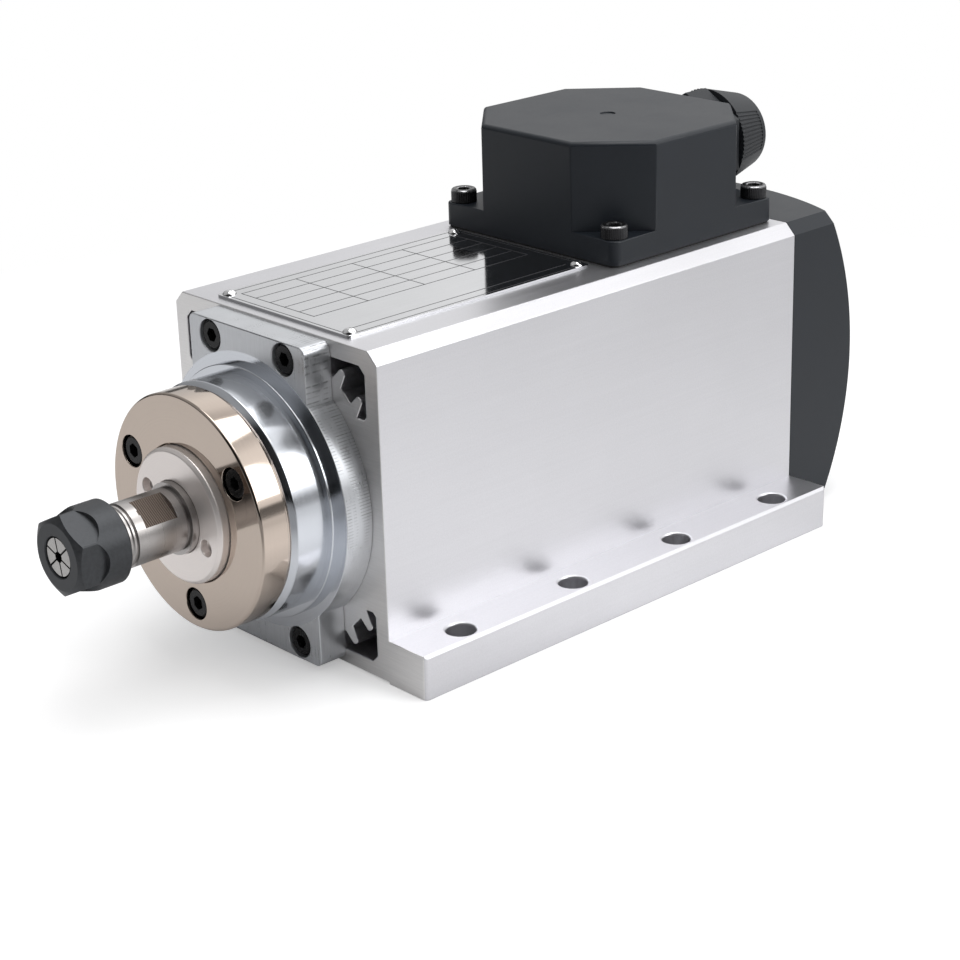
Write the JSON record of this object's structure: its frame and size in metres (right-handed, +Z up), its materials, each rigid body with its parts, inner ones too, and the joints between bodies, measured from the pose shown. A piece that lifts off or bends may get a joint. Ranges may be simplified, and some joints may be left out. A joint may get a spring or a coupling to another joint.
{
  "type": "motor spindle",
  "caption": "Air-cooled square motor spindle with bolt-down feet, collet chuck, terminal box and fan cover.",
  "frame": {"origin": "centre of the foot bolt pattern, on the plane that the feet stand on", "axes": "+X across the feet, +Y along the spindle from the chuck to the fan, +Z up from the feet"},
  "size_m": [0.0974, 0.2343, 0.1086],
  "materials": {
    "anodised_aluminium": "satin clear anodised extrusion",
    "machined_aluminium": "machined grey aluminium with milling marks",
    "polished_ring": "polished, warm tint",
    "satin_steel": "satin turned steel",
    "polished_steel": "ground steel",
    "black_oxide": "black oxide steel",
    "collet_steel": "ground spring steel",
    "bearing_steel": "polished bearing steel",
    "lamination_steel": "stacked electrical steel",
    "copper_winding": "varnished copper wire",
    "cast_aluminium": "cast, sand-grey",
    "charcoal_plastic": "matt moulded charcoal plastic",
    "black_nylon": "glossy black nylon",
    "seal_rubber": "soft black rubber",
    "plate_metal": "bright foil plate",
    "block_plastic": "ivory insulating plastic",
    "lead_insulation": "silicone lead insulation",
    "brass_fitting": "plated brass"
  },
  "bodies": {
    "housing": {"motor_housing": "anodised_aluminium", "front_bearing_housing": "machined_aluminium", "front_housing_screws": "black_oxide", "front_cover_ring": "polished_ring", "front_cover_screws": "black_oxide", "stator_core": "lamination_steel", "stator_windings": "copper_winding", "nameplate": "plate_metal", "nameplate_rivets": "satin_steel", "front_bearing_outer_rings": "bearing_steel", "rear_bearing_outer_ring": "bearing_steel", "rear_bearing_bracket": "cast_aluminium", "wave_spring": "satin_steel", "rear_cover": "charcoal_plastic", "rear_cover_screws": "black_oxide", "terminal_box": "charcoal_plastic", "terminal_box_gasket": "seal_rubber", "terminal_box_screws": "black_oxide", "terminal_block": "block_plastic", "terminal_screws": "brass_fitting", "motor_leads": "lead_insulation", "gland_body": "black_nylon", "gland_locknut": "black_nylon", "gland_seal": "seal_rubber", "gland_cap": "black_nylon"},
    "rotor": {"spindle_shaft": "polished_steel", "dust_cap": "satin_steel", "front_bearing_inner_rings": "bearing_steel", "front_bearing_balls": "bearing_steel", "rotor_core": "lamination_steel", "rotor_cage": "cast_aluminium", "rear_bearing_inner_ring": "bearing_steel", "rear_bearing_balls": "bearing_steel", "shaft_circlip": "satin_steel", "cooling_fan": "black_nylon", "fan_washer": "satin_steel", "fan_nut": "satin_steel"},
    "collet": {"collet": "collet_steel"},
    "collet_nut": {"collet_nut": "black_oxide"}
  },
  "joints": [
    {"name": "rotor_spin", "type": "hinge", "parent": "housing", "child": "rotor", "pos_m": [0, -0.0705, 0.0403], "axis": [0, -1, 0], "continuous": true},
    {"name": "collet_slide", "type": "slide", "parent": "rotor", "child": "collet", "axis": [0, -1, 0], "range_m": [0, 0.006]},
    {"name": "nut_turn", "type": "hinge", "parent": "collet", "child": "collet_nut", "pos_m": [0, -0.0705, 0.0403], "axis": [0, -1, 0], "range_deg": [0, 2880]}
  ],
  "couplings": [
    {"joint": "collet_slide", "follows": "nut_turn", "m_per_rad": 0.00011937}
  ]
}
